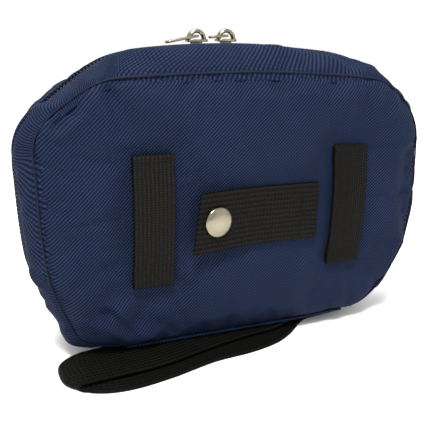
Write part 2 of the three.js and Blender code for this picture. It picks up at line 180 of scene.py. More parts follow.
# Polypropylene webbing: hard, slightly shiny black yarns. Ribbed webbing has straight cords along it; heavy webbing
# has rows of V-shaped crossings.
ribbed = {"crown": "#1e1d19", "gapShade": "#040403", "ribPitch": 2.0, "dotPitch": 1.25, "vee": 0, "relief": 0.0003,
          "roughness": 0.62}
fineRibbed = {"crown": "#1d1c18", "gapShade": "#040403", "ribPitch": 1.4, "dotPitch": 1.5, "vee": 0, "relief": 0.00025,
              "roughness": 0.65}
chevron = {"crown": "#1a1915", "gapShade": "#020202", "ribPitch": 2.5, "dotPitch": 1.9, "vee": 1.25, "relief": 0.001,
           "roughness": 0.62}
darkChevron = {"crown": "#0b0b0a", "gapShade": "#010101", "ribPitch": 2.5, "dotPitch": 1.9, "vee": 1.25,
               "relief": 0.0006, "roughness": 0.65}


def webbing(name, look):
    material, tree, shader = newMaterial(name, look["roughness"])
    uv = addNode(tree, "ShaderNodeUVMap", uv_map="threads").outputs["UV"]
    parts = addNode(tree, "ShaderNodeSeparateXYZ", {0: uv})
    along = parts.outputs["X"]
    if look["vee"]:
        fold = addNode(tree, "ShaderNodeMath", {0: parts.outputs["Y"], 1: look["vee"]}, operation="PINGPONG")
        along = addNode(tree, "ShaderNodeMath", {0: along, 1: fold.outputs[0]}, operation="ADD").outputs[0]
    place = addNode(tree, "ShaderNodeCombineXYZ", {"X": along, "Y": parts.outputs["Y"]})
    dots = addNode(tree, "ShaderNodeTexWave", {"Vector": place.outputs[0], "Scale": bandScale / look["dotPitch"]},
                   bands_direction="X")
    ribs = addNode(tree, "ShaderNodeTexWave", {"Vector": place.outputs[0], "Scale": bandScale / look["ribPitch"]},
                   bands_direction="Y")
    cords = addNode(tree, "ShaderNodeMath", {0: ribs.outputs["Fac"], 1: 0.5}, operation="POWER")
    lift = addNode(tree, "ShaderNodeMapRange", {"Value": dots.outputs["Fac"], "To Min": 0.35, "To Max": 1.0})
    knots = addNode(tree, "ShaderNodeMath", {0: cords.outputs[0], 1: lift.outputs[0]}, operation="MULTIPLY")
    patch = addNode(tree, "ShaderNodeTexNoise", {"Vector": uv, "Scale": 0.5, "Detail": 3})
    # Painted shade: the hollows between cords and crossings are coloured darker, mixed with random patches of darker
    # tone
    patchAndGapShade = addNode(tree, "ShaderNodeMath", {0: knots.outputs[0], 1: patch.outputs["Fac"]}, operation="MULTIPLY")
    tone = addNode(tree, "ShaderNodeMapRange", {"Value": patchAndGapShade.outputs[0], "From Max": 0.6})
    colour = addNode(tree, "ShaderNodeMix", {0: tone.outputs[0], 6: toLinear(look["gapShade"]),
                     7: toLinear(look["crown"])}, data_type="RGBA")
    bump = addNode(tree, "ShaderNodeBump", {"Height": knots.outputs[0], "Distance": look["relief"], "Strength": 1.0})
    tree.links.new(colour.outputs[2], shader.inputs["Base Color"])
    tree.links.new(bump.outputs[0], shader.inputs["Normal"])
    shader.inputs["Specular IOR Level"].default_value = 0.08
    return material


# Plain woven or solid black and grey things: tape, lining, foam, thread, coil
def speckled(name, high, low, scale, relief, roughness, sheen=0.0):
    material, tree, shader = newMaterial(name, roughness)
    place = addNode(tree, "ShaderNodeTexCoord").outputs["Object"]
    grain = addNode(tree, "ShaderNodeTexNoise", {"Vector": place, "Scale": scale, "Detail": 4, "Roughness": 0.6})
    colour = addNode(tree, "ShaderNodeMix", {0: grain.outputs["Fac"], 6: toLinear(low), 7: toLinear(high)},
                     data_type="RGBA")
    bump = addNode(tree, "ShaderNodeBump", {"Height": grain.outputs["Fac"], "Distance": relief, "Strength": 1.0})
    tree.links.new(colour.outputs[2], shader.inputs["Base Color"])
    tree.links.new(bump.outputs[0], shader.inputs["Normal"])
    shader.inputs["Sheen Weight"].default_value = sheen
    shader.inputs["Specular IOR Level"].default_value = 0.2
    return material


# Nickel plate on die-cast zinc and pressed steel: warm grey, bright, with faint tumbling marks
plate = {"high": "#99937f", "low": "#706a5d", "roughness": (0.14, 0.3), "marks": 900}


def nickelPlate():
    material, tree, shader = newMaterial("tumbled nickel plate")
    place = addNode(tree, "ShaderNodeTexCoord").outputs["Object"]
    cloud = addNode(tree, "ShaderNodeTexNoise", {"Vector": place, "Scale": 160, "Detail": 2})
    marks = addNode(tree, "ShaderNodeTexNoise", {"Vector": place, "Scale": plate["marks"], "Detail": 3})
    colour = addNode(tree, "ShaderNodeMix", {0: cloud.outputs["Fac"], 6: toLinear(plate["low"]),
                     7: toLinear(plate["high"])}, data_type="RGBA")
    rough = addNode(tree, "ShaderNodeMapRange", {"Value": cloud.outputs["Fac"], "To Min": plate["roughness"][0],
                    "To Max": plate["roughness"][1]})
    bump = addNode(tree, "ShaderNodeBump", {"Height": marks.outputs["Fac"], "Distance": 0.00002, "Strength": 1.0})
    tree.links.new(colour.outputs[2], shader.inputs["Base Color"])
    tree.links.new(rough.outputs[0], shader.inputs["Roughness"])
    tree.links.new(bump.outputs[0], shader.inputs["Normal"])
    shader.inputs["Metallic"].default_value = 1.0
    return material


print("materials")
navyOxford = oxfordCloth("coated navy oxford", oxford)
loopWebbing = webbing("ribbed polypropylene webbing", ribbed)
fineWebbing = webbing("fine ribbed polypropylene webbing", fineRibbed)
heavyWebbing = webbing("chevron polypropylene webbing", chevron)
strapWebbing = webbing("dark chevron polypropylene webbing", darkChevron)
blackTape = speckled("woven polyester tape", "#1c1c1b", "#0a0a0a", 1500, 0.0001, 0.8, 0.1)
blackCoil = speckled("moulded nylon coil", "#111112", "#080808", 700, 0.00003, 0.45)
blackThread = speckled("bonded black thread", "#080807", "#020202", 3000, 0.00005, 0.85)
# Painted shade: a near-black navy for the strip laid in the seam crease, standing in for the crease's shadow
seamCreaseShade = speckled("painted navy seam crease shade", "#10162b", "#060914", 3000, 0.00005, 0.9)
navyThread = speckled("bonded navy thread", "#2c3a60", "#172142", 3000, 0.00005, 0.75)
greyLining = speckled("plain nylon lining", "#3c3d44", "#26272c", 2200, 0.00006, 0.65, 0.1)
paleFoam = speckled("polyether padding foam", "#ddd9cc", "#b9b4a4", 1800, 0.0003, 0.95)
nickel = nickelPlate()

# The bag's form, in millimetres from the zip plane. The zip line is the widest outline.

bag = {"width": 221.1, "height": 152.1, "halfDepth": 22.8, "seamInset": 7.2, "seamRise": 4.9, "seamDrop": 13.3,
       "bulge": 4.3, "crown": 2.8, "zipPlane": -11.625, "strapRoom": 4.6,
       "zipCorner": (51.8, 59.2, 11.1), "seamCorner": (40.1, 29.4, 6.3)}
layers = {"shell": 1.0, "foam": 3.5, "lining": 0.8, "gap": 0.3}
panelMiddle = (bag["seamRise"] + bag["height"] - bag["seamDrop"]) / 2  # height of a panel's middle


def mix(a, b, t):
    return a + (b - a) * t


def easeIn(t):
    t = min(1, max(0, t))
    return t * t * (3 - 2 * t)


# The outline in XZ: 0 is the bottom middle, 1 to 2 the right corner, 3 to 4 the top corner, 5 the top middle
def edgePoint(place, level):
    share = level ** 1.5
    half = bag["width"] / 2 - bag["seamInset"] * share
    bottom = bag["seamRise"] * share
    top = bag["height"] - bag["seamDrop"] * share
    lowRadius, topRadius, arch = (mix(a, b, share) for a, b in zip(bag["zipCorner"], bag["seamCorner"]))
    k = place if place <= 5 else 10 - place
    x, z = half, mix(bottom + lowRadius, top - topRadius, k - 2)
    if k < 1:
        x, z = k * (half - lowRadius), bottom
    elif k < 2:
        turn = (k - 1) * math.pi / 2
        x, z = half - lowRadius * (1 - math.sin(turn)), bottom + lowRadius * (1 - math.cos(turn))
    elif 3 <= k < 4:
        turn = (k - 3) * math.pi / 2
        x, z = half - topRadius * (1 - math.cos(turn)), top - topRadius * (1 - math.sin(turn))
    elif k >= 4:
        x, z = (5 - k) * (half - topRadius), top
    across = x / half
    up = (z - (bottom + top) / 2) / ((top - bottom) / 2)
    x -= bag["bulge"] * up ** 2 * across
    z -= arch * across ** 2 * up if up > 0 else 0
    return (x if place <= 5 else -x), z


def ringPoint(place, y, inset):
    level = min(1, abs(y) / bag["halfDepth"])
    x, z = edgePoint(place, level)
    xa, za = edgePoint(max(0, place - 0.01), level)
    xb, zb = edgePoint(min(10, place + 0.01), level)
    along = Vector((xb - xa, zb - za)).normalized()
    x, z = settled(x - along.y * inset, y, z + along.x * inset)
    return x, y, max(z, bag["strapRoom"] + (inset if z < 20 else 0))


def panelFace(x, z):
    half = bag["width"] / 2 - bag["seamInset"]
    across = min(1, abs(x) / half) ** 2.5
    up = min(1, abs(z - panelMiddle) / (panelMiddle - bag["seamRise"])) ** 2.5
    return bag["halfDepth"] + bag["crown"] * (1 - across) * (1 - up)


def runLengths(points):
    run = [0]
    for a, b in zip(points, points[1:]):
        run.append(run[-1] + (b - a).length)
    return run


# Where the filled bag has sagged or swelled, in XZ: middle, shift, and how far the shift reaches
settle = [((96, 22), (-3.8, 1.2), 24), ((-90, 6), (-5.5, -3), 12), ((-106, 32), (2.2, 0), 15),
          ((88, 136), (-1.2, 0.4), 26), ((-106, 114), (-3.8, 0.6), 17), ((-73, 147), (-0.4, 0.8), 17),
          ((-110, 90), (-2.0, 0), 32)]
rearSettle = [((60, 2), (0, 1.2), 22)]  # only the cloth behind the zip


def settled(x, y, z):
    dx = dz = 0
    behind = easeIn(-y / 14)
    shares = [(entry, 1) for entry in settle] + [(entry, behind) for entry in rearSettle]
    for ((cx, cz), (sx, sz), reach), most in shares:
        share = most * math.exp(-((x - cx) ** 2 + (z - cz) ** 2) / reach ** 2)
        dx, dz = dx + sx * share, dz + sz * share
    return x + dx, z + dz


def toRow(x, y, z):
    return Vector((x, y + bag["zipPlane"], z)) * mm


# Places along the outline, evenly spaced by length, from start to end, and that length
def evenPlaces(start, end, count, level):
    fine = [mix(start, end, i / 2000) for i in range(2001)]
    points = [Vector(edgePoint(p, level)) for p in fine]
    run = runLengths(points)
    places, j = [], 0
    for i in range(count + 1):
        while j < 2000 and run[j] < run[-1] * i / count - 1e-9:
            j += 1
        places.append(fine[j])
    return places, run[-1]


# Makes an object of a bmesh, which is used up
def addPiece(name, mesh, material):
    data = bpy.data.meshes.new(name)
    mesh.to_mesh(data)
    mesh.free()
    data.materials.append(material)
    piece = bpy.data.objects.new(name, data)
    scene.collection.objects.link(piece)
    for polygon in data.polygons:
        polygon.use_smooth = True
    return piece


# Gives cloth its wall and its rounded edges, and keeps the result as the piece's mesh
def makeWall(piece, wall, levels=1, offset=-1):
    if wall:
        solid = piece.modifiers.new("wall", "SOLIDIFY")
        solid.thickness = wall * mm
        solid.offset = offset
        solid.use_quality_normals = True
    if levels:
        smooth = piece.modifiers.new("round", "SUBSURF")
        smooth.levels = levels
        smooth.render_levels = levels
    graph = bpy.context.evaluated_depsgraph_get()
    made = bpy.data.meshes.new_from_object(piece.evaluated_get(graph))
    old = piece.data
    piece.modifiers.clear()
    piece.data = made
    bpy.data.meshes.remove(old)
    made.name = piece.name


# A rectangle of cloth put in place by place(u, v). Its length is in millimetres, as one number or as the run to
# each column, and so is its width.
def cloth(columns, rows, length, width, place, outwards):
    runs = [length * i / columns for i in range(columns + 1)] if isinstance(length, (int, float)) else length
    mesh = bmesh.new()
    bmesh.ops.create_grid(mesh, x_segments=columns, y_segments=rows, size=0.5)
    threads = mesh.loops.layers.uv.new("threads")
    for face in mesh.faces:
        for loop in face.loops:
            co = loop.vert.co
            loop[threads].uv = (runs[round((co.x + 0.5) * columns)], (co.y + 0.5) * width)
    for vertex in mesh.verts:
        vertex.co = place(vertex.co.x + 0.5, vertex.co.y + 0.5)
    mesh.normal_update()
    if sum(outwards(face.calc_center_median()).dot(face.normal) for face in mesh.faces) < 0:
        bmesh.ops.reverse_faces(mesh, faces=mesh.faces[:])
    return mesh


def fromMiddle(point):
    return point - Vector((0, bag["zipPlane"] * mm, 0.075))


def beltSide(point):
    return Vector((0, -1, 0))


# Lets cloth billow between its held vertices. It runs at ten times the size, where Cloth is steadier.
billow = {"scale": 10, "frames": 18, "quality": 6}


def billowCloth(piece, held, pressure, spare, cap):
    rest = [vertex.co.copy() for vertex in piece.data.vertices]
    piece.data.transform(Matrix.Scale(billow["scale"], 4))
    piece.vertex_groups.new(name="held").add(held, 1.0, "REPLACE")
    modifier = piece.modifiers.new("billow", "CLOTH")
    fabric = modifier.settings
    fabric.quality = billow["quality"]
    fabric.vertex_group_mass = "held"
    fabric.mass = 0.3
    fabric.tension_stiffness = fabric.compression_stiffness = 25
    fabric.shear_stiffness = 8
    fabric.bending_stiffness = 1.5
    fabric.shrink_min = -spare
    fabric.use_pressure = True
    fabric.uniform_pressure_force = pressure
    fabric.effector_weights.gravity = 0
    modifier.point_cache.frame_start = 1
    modifier.point_cache.frame_end = billow["frames"]
    for number in range(1, billow["frames"] + 1):
        scene.frame_set(number)
    graph = bpy.context.evaluated_depsgraph_get()
    moved = [vertex.co / billow["scale"] for vertex in piece.evaluated_get(graph).data.vertices]
    piece.modifiers.remove(modifier)
    piece.vertex_groups.clear()
    scene.frame_set(1)
    most = 0
    for vertex, start, end in zip(piece.data.vertices, rest, moved):
        shift = end - start
        most = max(most, shift.length)
        if shift.length > cap * mm:
            shift *= cap * mm / shift.length
        vertex.co = start + shift
    print("  ", piece.name, "moved up to", round(most / mm, 2), "mm")


# Panels: a crowned sheet whose rim rolls into the seam

panelLook = {"columns": 100, "rows": 72, "crowd": 1.6, "rollDepth": 4.4, "rollWidth": 1.7, "edgeScale": 68,
             "edgeFree": 5, "pressure": 2.0, "mostBillow": 3.0, "flat": (199, 134)}

# Folds pressed into the cloth of the belt side: from, to, half width, depth
backFolds = [
    (-94, 118, -84, 130, 2.6, 3.0), (-75, 138, -66, 114, 3.6, 2.6), (-105, 82, -92, 77, 1.8, 1.8),
    (-94, 22, -82, 14, 2.4, 2.4), (-78, 27, -66, 15, 2.4, 2.4), (96, 40, 88, 14, 3.2, 2.8),
    (93, 96, 96, 50, 4.5, 1.8), (-37, 137, -39, 124, 3.4, 1.1), (0, 136, -4, 116, 4.5, 1.0),
    (10, 137, 19, 122, 4.5, 1.0), (83, 134, 75, 117, 3.4, 2.0), (-88, 62, -72, 38, 7.0, 1.4),
    (-64, 22, -32, 11, 4.6, 1.4), (36, 20, 78, 32, 6.0, 1.4), (46, 134, 39, 118, 4.6, 1.3),
]


foldScale = {"pressed": 1.25, "broad": 1.7, "small": 0.25}


def foldDepth(x, z, folds, seed):
    wander = noise.noise_vector(Vector((x * 0.05, z * 0.05, seed))) * 2.5
    x, z = x + wander.x, z + wander.y
    total = 0
    for xa, za, xb, zb, half, depth in folds:
        run = Vector((xb - xa, zb - za))
        t = min(1, max(0, ((x - xa) * run.x + (z - za) * run.y) / run.length_squared))
        gap = math.hypot(x - xa - run.x * t, z - za - run.y * t) / half
        if gap < 4:
            fade = 1 - 0.55 * t
            total += depth * fade * (math.exp(-gap * gap) - 0.45 * math.exp(-(gap - 1.9) ** 2))
    broad = noise.noise(Vector((x * 0.028, z * 0.028, seed + 7))) * foldScale["broad"]
    small = noise.noise(Vector((x * 0.09, z * 0.09, seed + 3))) * foldScale["small"]
    return foldScale["pressed"] * total + broad + small


# 1 where something is sewn on, so that the cloth lies flat there
def sewnDown(x, z):
    patches = [(-63.55, -43.55, 38.3, 102.9), (43.55, 63.55, 38.3, 102.9), (-35.65, 35.95, 54.3, 84.3)]
    most = 0
    for left, right, low, high in patches:
        away = math.hypot(max(left - x, 0, x - right), max(low - z, 0, z - high))
        most = max(most, 1 - away / 9)
    return easeIn(most)


def panelPlace(u, v, reach):
    a, b = 2 * u - 1, 2 * v - 1
    ring = max(abs(a), abs(b))
    if ring < 1e-6:
        return 0.0, panelMiddle, 0.0
    a, b = a / ring, b / ring
    if abs(b) >= abs(a):
        place = 1.5 * a if b < 0 else 5 - 1.5 * a
    else:
        place = 2.5 + b if a > 0 else 7.5 - b
    radius = (1 - (1 - ring) ** panelLook["crowd"]) * reach
    x, z = edgePoint(place % 10, 1)
    return x * radius, panelMiddle + (z - panelMiddle) * radius, radius


def addPanel(name, node, side, reach, depth, wall, material, body, folds, roll, spare):
    columns, rows = (panelLook["columns"], panelLook["rows"]) if roll else (60, 44)

    def place(u, v):
        x, z, radius = panelPlace(u, v, reach)
        sx, sz = settled(x, side * bag["halfDepth"], z)
        edge = (1 - radius) * panelLook["edgeScale"]
        dip = panelLook["rollDepth"] * math.exp(-(edge / panelLook["rollWidth"]) ** 2) if roll else 0
        return toRow(sx, side * (panelFace(x, z) - depth - dip), sz)

    mesh = cloth(columns, rows, *panelLook["flat"], place, lambda point: Vector((0, side, 0)))
    threads = mesh.loops.layers.uv["threads"]
    for face in mesh.faces:
        for loop in face.loops:
            loop[threads].uv = (loop.vert.co.x / mm + 120, loop.vert.co.z / mm)
    piece = addPiece(name, mesh, material)
    if spare:
        boundary = [v.index for v in piece.data.vertices
                    if panelRadius(v.co) > 0.985 or (side < 0 and sewnDown(v.co.x / mm, v.co.z / mm) > 0.6)]
        billowCloth(piece, boundary, panelLook["pressure"], spare, panelLook["mostBillow"])
    for vertex in piece.data.vertices:
        x, z = vertex.co.x / mm, vertex.co.z / mm
        edge = (1 - panelRadius(vertex.co)) * panelLook["edgeScale"]
        free = easeIn(edge / panelLook["edgeFree"]) * (1 - (sewnDown(x, z) if side < 0 else 0))
        vertex.co.y -= side * foldDepth(x, z, folds, side * 10) * free * mm
    makeWall(piece, wall)
    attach(piece, body)
    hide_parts(node)
    return piece


# How far out a point is on its panel, from 0 at the middle to 1 at the seam
def panelRadius(point):
    x, z = point.x / mm, point.z / mm
    shiftedX, shiftedZ = settled(x, point.y / mm - bag["zipPlane"], z)
    x, z = 2 * x - shiftedX, 2 * z - shiftedZ - panelMiddle
    low, high = 0.0, 5.0
    angle = math.atan2(abs(x), -z)
    for _ in range(12):
        half = (low + high) / 2
        ex, ez = edgePoint(half, 1)
        if math.atan2(ex, -(ez - panelMiddle)) < angle:
            low = half
        else:
            high = half
    ex, ez = edgePoint(low, 1)
    return math.hypot(x, z) / max(1e-6, math.hypot(ex, ez - panelMiddle))


print("panels")
foamDepth = layers["shell"] + layers["gap"]
liningDepth = foamDepth + layers["foam"] + layers["gap"]
addPanel("back_panel_cloth", "back_panel", -1, 1, 0, layers["shell"], navyOxford,
         "rear_half", backFolds, True, 0.03)
addPanel("front_panel_cloth", "front_panel", 1, 1, 0, layers["shell"], navyOxford,
         "front_half", backFolds[9:], True, 0.03)
addPanel("back_foam_pad", "back_foam", -1, 0.9, foamDepth + 0.3, layers["foam"] - 0.6, paleFoam,
         "rear_half", backFolds, False, 0)
addPanel("front_foam_pad", "front_foam", 1, 0.9, foamDepth + 0.3, layers["foam"] - 0.6, paleFoam,
         "front_half", backFolds[9:], False, 0)
addPanel("back_lining_cloth", "back_lining", -1, 0.95, liningDepth + 0.2, layers["lining"], greyLining,
         "rear_half", backFolds, False, 0)
addPanel("front_lining_cloth", "front_lining", 1, 0.95, liningDepth + 0.2, layers["lining"], greyLining,
         "front_half", backFolds[9:], False, 0)

# Gusset ring: the cloth between a panel seam and the zip, with a turned and topstitched edge at the zip

ring = {"gussetEnd": 1.135, "coilEnd": 1.17, "toSeam": 21.45, "seamDepth": 4.8, "seamWidth": 1.4,
        "creaseShadeInset": 1.35, "stitchLine": 6.9, "wall": 1.1, "columns": 250, "tapeColumns": 220, "edgeColumns": 260}
billowRing = {"pressure": 1.0, "spare": 0.03, "most": 1.6}
swellLook = {"broad": 1.6, "small": 0.7, "rear": 1.3, "front": -1.2, "middle": 12, "width": 5.5, "folds": 0.8}
rise = {"height": 2.6, "middle": (-18, -9), "reach": (48, 5)}  # the edge beside the sliders
gussetRows = [5, 5.3, 5.9, 6.5, 6.9, 7.3, 8.2, 10, 12, 14, 16, 17.8, 19, 19.7, 20.2, 20.6, 21, 21.45]


# Folds pressed into the rear gusset, by their place in the bag's outline: from, to, half width, depth
gussetFolds = [
    (-74, 152, -76, 138, 4.0, 3.0), (-97, 128, -88, 136, 3.0, 2.0), (97, 20, 102, 30, 4.0, 2.4),
    (80, 146, 86, 134, 3.6, 1.6), (-102, 22, -96, 14, 3.6, 2.0), (-110, 80, -102, 80, 2.6, 1.2),
]


# Bakes the front half's cloth in place, where it stays joined to the rear half at the bottom
def bendAtBottom(piece):
    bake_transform(piece)


def rideHalf(piece, side):
    if side < 0:
        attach(piece, "rear_half")
    else:
        bendAtBottom(piece)


# How deep the cloth of the ring turns in towards a panel seam
def seamDip(y):
    return ring["seamDepth"] * math.exp(-((ring["toSeam"] - y) / ring["seamWidth"]) ** 2)


# The belt side's edge stands up a little along the middle of the zip
def zipRise(x, y, z):
    if y > 0 or z < 100:
        return 0
    (midX, midY), (reachX, reachY) = rise["middle"], rise["reach"]
    return rise["height"] * math.exp(-((y - midY) / reachY) ** 2) * math.exp(-((x - midX) / reachX) ** 4)


# How far the cloth of the ring swells at a point, outwards from the middle of the bag
def ringSwell(point, side):
    y = abs(point.y / mm - bag["zipPlane"])
    x, z = point.x / mm, point.z / mm
    seed = 1 if side < 0 else 31
    free = easeIn((y - 7) / 5) * easeIn((21.4 - y) / 5) * easeIn((z - 5) / 8)
    swell = noise.noise(Vector((x * 0.05, z * 0.05, y * 0.05 + seed))) * swellLook["broad"]
    swell += noise.noise(Vector((x * 0.14, z * 0.14, y * 0.1 + seed + 5))) * swellLook["small"]
    crown = swellLook["front" if side > 0 else "rear"]
    swell += crown * math.exp(-((y - swellLook["middle"]) / swellLook["width"]) ** 2)
    if side < 0:
        swell -= swellLook["folds"] * foldDepth(x, z, gussetFolds, 3)
    return (point - Vector((0, point.y, 0.075))).normalized() * swell * free * mm


def addGusset(name, node, side):
    places, length = evenPlaces(ring["gussetEnd"], 10 - ring["gussetEnd"], ring["columns"], 0)
    last = len(gussetRows) - 1

    def place(u, v):
        y = gussetRows[round(v * last)]
        dip = seamDip(y) + 0.35 * math.exp(-((y - ring["stitchLine"]) / 0.5) ** 2)
        point = Vector(ringPoint(places[round(u * ring["columns"])], side * y, dip))
        return toRow(point.x, point.y, point.z + zipRise(point.x, point.y, point.z))

    mesh = cloth(ring["columns"], last, length, 17, place, fromMiddle)
    threads = mesh.loops.layers.uv["threads"]
    for face in mesh.faces:
        for loop in face.loops:
            loop[threads].uv.y = abs(loop.vert.co.y / mm - bag["zipPlane"])
    piece = addPiece(name, mesh, navyOxford)
    held = [v.index for v in piece.data.vertices
            if not 8.1 < abs(v.co.y / mm - bag["zipPlane"]) < 20.5 or v.co.z < 0.006]
    billowCloth(piece, held, billowRing["pressure"], billowRing["spare"], billowRing["most"])
    for vertex in piece.data.vertices:
        vertex.co += ringSwell(vertex.co, side)
    makeWall(piece, ring["wall"])
    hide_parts(node)
    rideHalf(piece, side)


print("gussets")
addGusset("rear_gusset_cloth", "rear_zip_gusset", -1)
addGusset("front_gusset_cloth", "front_zip_gusset", 1)

bottom = {"left": -65.55, "right": 61.25, "edge": 21.45, "front": 16, "ramp": 3, "flat": (-5, 19.5), "slant": 136,
          "wall": 1.4}


def addBottomGusset():
    def place(u, v):
        x = mix(bottom["left"], bottom["right"], u)
        y = mix(-bottom["edge"], bottom["edge"], v)
        flat = mix(bottom["flat"][1], bottom["flat"][0], (bottom["right"] - x) / bottom["slant"])
        rise = max(easeIn((flat - y) / bottom["ramp"]), easeIn((y - max(bottom["front"], flat + 0.5)) / 5))
        x, z = settled(x, y, bag["strapRoom"] * rise + 0.02)
        return toRow(x, y, z if rise else 0.02)

    mesh = cloth(60, 48, 127, 43, place, lambda point: Vector((0, 0, -1)))
    piece = addPiece("bottom_gusset_cloth", mesh, navyOxford)
    makeWall(piece, bottom["wall"])
    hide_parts("bottom_gusset")
    bendAtBottom(piece)


addBottomGusset()


# Tapes: strips of the ring under the gusset
def addTape(name, node, side, near, far, inset, wall):
    places, length = evenPlaces(ring["coilEnd"], 10 - ring["coilEnd"], ring["tapeColumns"], 0)

    def place(u, v):
        y = mix(near, far, v)
        point = toRow(*ringPoint(places[round(u * ring["tapeColumns"])], side * y, inset + seamDip(y)))
        return point + ringSwell(point, side)

    mesh = cloth(ring["tapeColumns"], 4, length, far - near, place, fromMiddle)
    piece = addPiece(name, mesh, blackTape)
    makeWall(piece, wall)
    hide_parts(node)
    rideHalf(piece, side)


# A dark strip of painted shade, laid in the crease between a panel and its gusset where the seam's shadow falls
def addSeamCreaseShade(name, side):
    places, length = evenPlaces(1.05, 8.95, ring["edgeColumns"], 0.9)

    def place(u, v):
        y = side * mix(19.8, 20.95, v)
        point = toRow(*ringPoint(places[round(u * ring["edgeColumns"])], y, ring["creaseShadeInset"]))
        return point + ringSwell(point, side)

    mesh = cloth(ring["edgeColumns"], 2, length, 1.2, place, fromMiddle)
    piece = addPiece(name, mesh, seamCreaseShade)
    makeWall(piece, 0.5)
    rideHalf(piece, side)


# Adds a small rounded bead, such as a tooth or a stitch, at each matrix
def addBeads(mesh, segments, matrices):
    made = bmesh.new()
    bmesh.ops.create_uvsphere(made, u_segments=segments, v_segments=5, radius=1)
    bead = bpy.data.meshes.new("bead")
    made.to_mesh(bead)
    made.free()
    for matrix in matrices:
        copy = bead.copy()
        copy.transform(matrix)
        mesh.from_mesh(copy)
        bpy.data.meshes.remove(copy)
    bpy.data.meshes.remove(bead)


# Coil: one row of rounded teeth a side; the two rows mesh across the zip plane
coil = {"pitch": 1.9, "length": 3.3, "width": 0.85, "height": 1.7, "depth": 0.5, "overlap": 0.25}


def addCoil(name, node, side):
    length = evenPlaces(ring["coilEnd"], 10 - ring["coilEnd"], 10, 0)[1]
    count = round(length / coil["pitch"])
    places = evenPlaces(ring["coilEnd"], 10 - ring["coilEnd"], 2 * count, 0)[0]
    teeth = []
    y = side * (coil["length"] / 2 - coil["overlap"])
    for i in range(count):
        place = places[2 * i + (1 if side > 0 else 0)]
        here = Vector(ringPoint(place, y, coil["depth"] + coil["height"] / 2))
        beyond = Vector(ringPoint(place + 0.005, y, coil["depth"] + coil["height"] / 2))
        along = (beyond - here).normalized()
        across = Vector((0, 1, 0))
        frame3 = Matrix((along, across, along.cross(across))).transposed().to_4x4()
        size = Matrix.Diagonal((coil["width"] / 2, coil["length"] / 2, coil["height"] / 2, 1))
        teeth.append(Matrix.Translation(toRow(*here)) @ Matrix.Scale(mm, 4) @ frame3 @ size)
    mesh = bmesh.new()
    addBeads(mesh, 8, teeth)
    piece = addPiece(name, mesh, blackCoil)
    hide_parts(node)
    rideHalf(piece, side)


print("zip tapes, coils and seam bindings")
for half, side in (("rear", -1), ("front", 1)):
    addTape("zip_tape_" + half + "_woven", "zip_tape_" + half, side, 2.9, 12, 1.75, 0.7)
    addTape("seam_binding_" + half + "_woven", "seam_binding_" + half, side, 15.6, 19.3, 3.4, 0.9)
    # Each half also gets a strip of painted shade in the crease of its panel seam
    addSeamCreaseShade("seam_crease_shade_" + half, side)
    addCoil("zip_coil_" + half + "_teeth", "zip_coil_" + half, side)


# A row of stitches through points, each lying along the row with its back to outwards
def sewRow(name, points, outwards, look, material):
    run = runLengths(points)
    count = int(run[-1] / look["pitch"])
    stitches, j = [], 0
    for i in range(count):
        at = (i + 0.5) * run[-1] / count
        while run[j + 1] < at:
            j += 1
        t = (at - run[j]) / (run[j + 1] - run[j])
        along = (points[j + 1] - points[j]).normalized()
        out = outwards[j].lerp(outwards[j + 1], t).normalized()
        side = along.cross(out).normalized()
        turned = Matrix((along, side, side.cross(along) * -1)).transposed().to_4x4()
        size = Matrix.Diagonal((look["length"] / 2, look["width"] / 2, look["width"] / 2, 1))
        stitch = Matrix.Translation(toRow(*points[j].lerp(points[j + 1], t)))
        stitches.append(stitch @ Matrix.Scale(mm, 4) @ turned @ size)
    mesh = bmesh.new()
    addBeads(mesh, 7, stitches)
    return addPiece(name, mesh, material)


topstitch = {"pitch": 3.0, "length": 2.3, "width": 0.45}


def addTopstitch(name, side):
    places = evenPlaces(ring["gussetEnd"] + 0.01, 10 - ring["gussetEnd"] - 0.01, 400, 0)[0]
    points = [Vector(ringPoint(p, side * ring["stitchLine"], 0.28)) for p in places]
    points = [p + Vector((0, 0, zipRise(*p))) for p in points]
    outwards = [(p - Vector((0, p.y, 75))).normalized() for p in points]
    piece = sewRow(name, points, outwards, topstitch, navyThread)
    rideHalf(piece, side)


addTopstitch("rear_gusset_topstitch", -1)
addTopstitch("front_gusset_topstitch", 1)


# A smooth run through points, steps to a span
def smoothRun(points, steps):
    ends = [2 * points[0] - points[1], *points, 2 * points[-1] - points[-2]]
    made = []
    for i in range(1, len(ends) - 2):
        a, b, c, d = ends[i - 1:i + 3]
        for j in range(steps):
            t = j / steps
            made.append(0.5 * (2 * b + (c - a) * t + (2 * a - 5 * b + 4 * c - d) * t ** 2
                               + (3 * b - a - 3 * c + d) * t ** 3))
    made.append(points[-1])
    return made


# Belt loops: webbing with both ends turned under and sewn through
loops = {"width": 20, "height": 64.6, "bottom": 38.3, "wall": 1.5, "bow": 4.1, "columns": 60, "rib": 0.13,
         "stitchFromEnd": 2.8}


